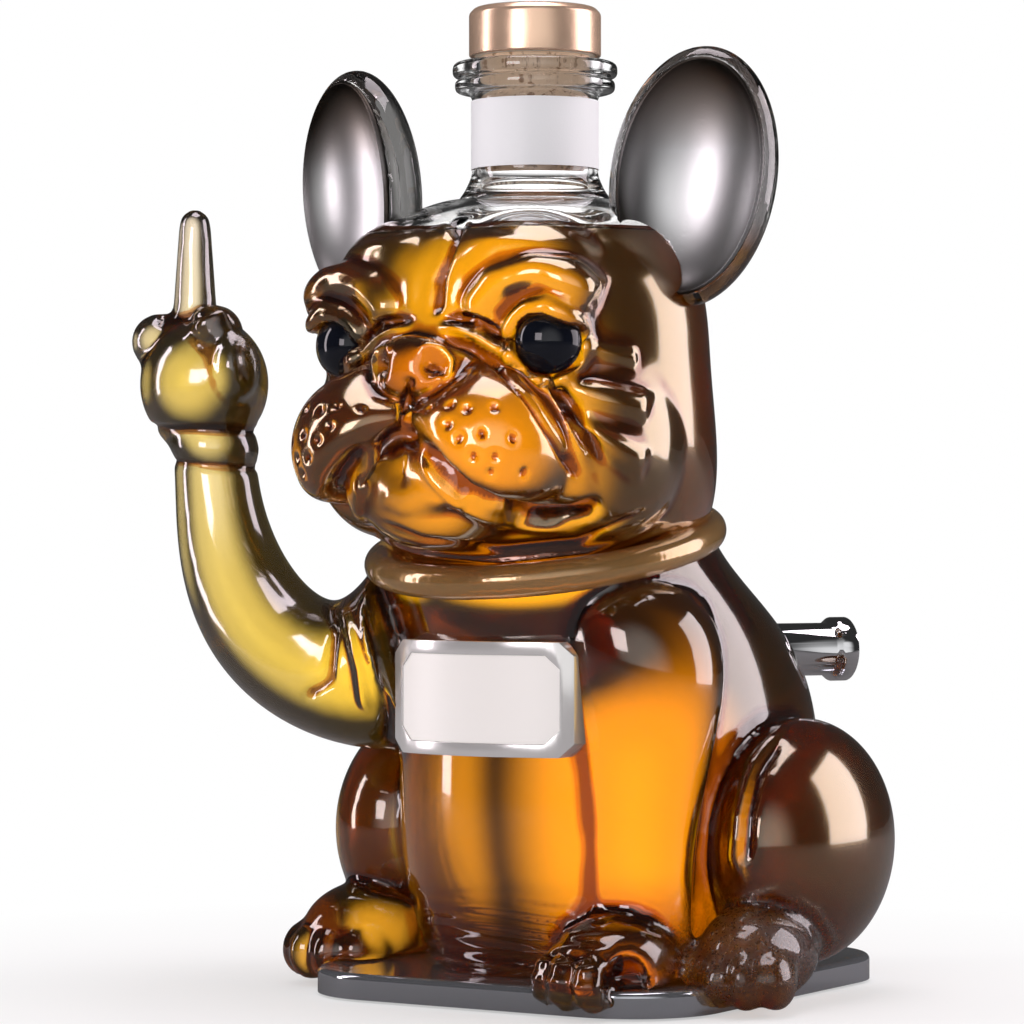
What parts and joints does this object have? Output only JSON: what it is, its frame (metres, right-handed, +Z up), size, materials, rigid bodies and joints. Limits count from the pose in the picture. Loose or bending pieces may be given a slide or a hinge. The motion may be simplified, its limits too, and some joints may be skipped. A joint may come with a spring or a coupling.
{
  "type": "figural liquor decanter",
  "caption": "Glass liquor decanter in the form of a seated bulldog with one foreleg raised, a cork stopper in its neck, a blank chest plate and a slab base.",
  "frame": {"origin": "on the resting plane under the slab, on the axis of the neck", "axes": "+Z up along the neck, -Y the way the dog looks, +X the dog's left"},
  "size_m": [0.193, 0.1731, 0.2474],
  "materials": {
    "amber_glass": "glossy blown glass over amber filling",
    "clear_glass": "clear glossy glass",
    "liquor": "clear amber liquid",
    "black_glass": "opaque black glass, polished",
    "silvering": "silvered",
    "bright_chrome": "polished",
    "satin_plate": "satin, plain",
    "dark_chrome": "polished",
    "felt": "felt",
    "white_band": "matte, plain",
    "copper_cap": "polished, copper-toned",
    "core_plastic": "moulded",
    "cork": "smooth cork"
  },
  "bodies": {
    "decanter": {"base_plate": "dark_chrome", "base_pad": "felt", "torso_shell": "amber_glass", "head_shell": "amber_glass", "crown_shell": "clear_glass", "liquor": "liquor", "neck": "clear_glass", "neck_band": "white_band", "left_ear": "clear_glass", "right_ear": "clear_glass", "left_ear_mirror": "silvering", "right_ear_mirror": "silvering", "left_eye": "black_glass", "right_eye": "black_glass", "collar_ring": "amber_glass", "raised_arm": "amber_glass", "raised_fist": "amber_glass", "raised_finger": "amber_glass", "front_leg": "amber_glass", "front_paw": "amber_glass", "left_haunch": "amber_glass", "right_haunch": "amber_glass", "left_hind_paw": "amber_glass", "right_hind_paw": "amber_glass", "tail_stub": "bright_chrome", "plate_frame": "bright_chrome", "chest_plate": "satin_plate"},
    "stopper": {"stopper_cap": "copper_cap", "stopper_core": "core_plastic", "stopper_cork": "cork"}
  },
  "joints": [
    {"name": "stopper_pull", "type": "slide", "parent": "decanter", "child": "stopper", "axis": [0, 0, 1], "range_m": [0, 0.034]}
  ]
}
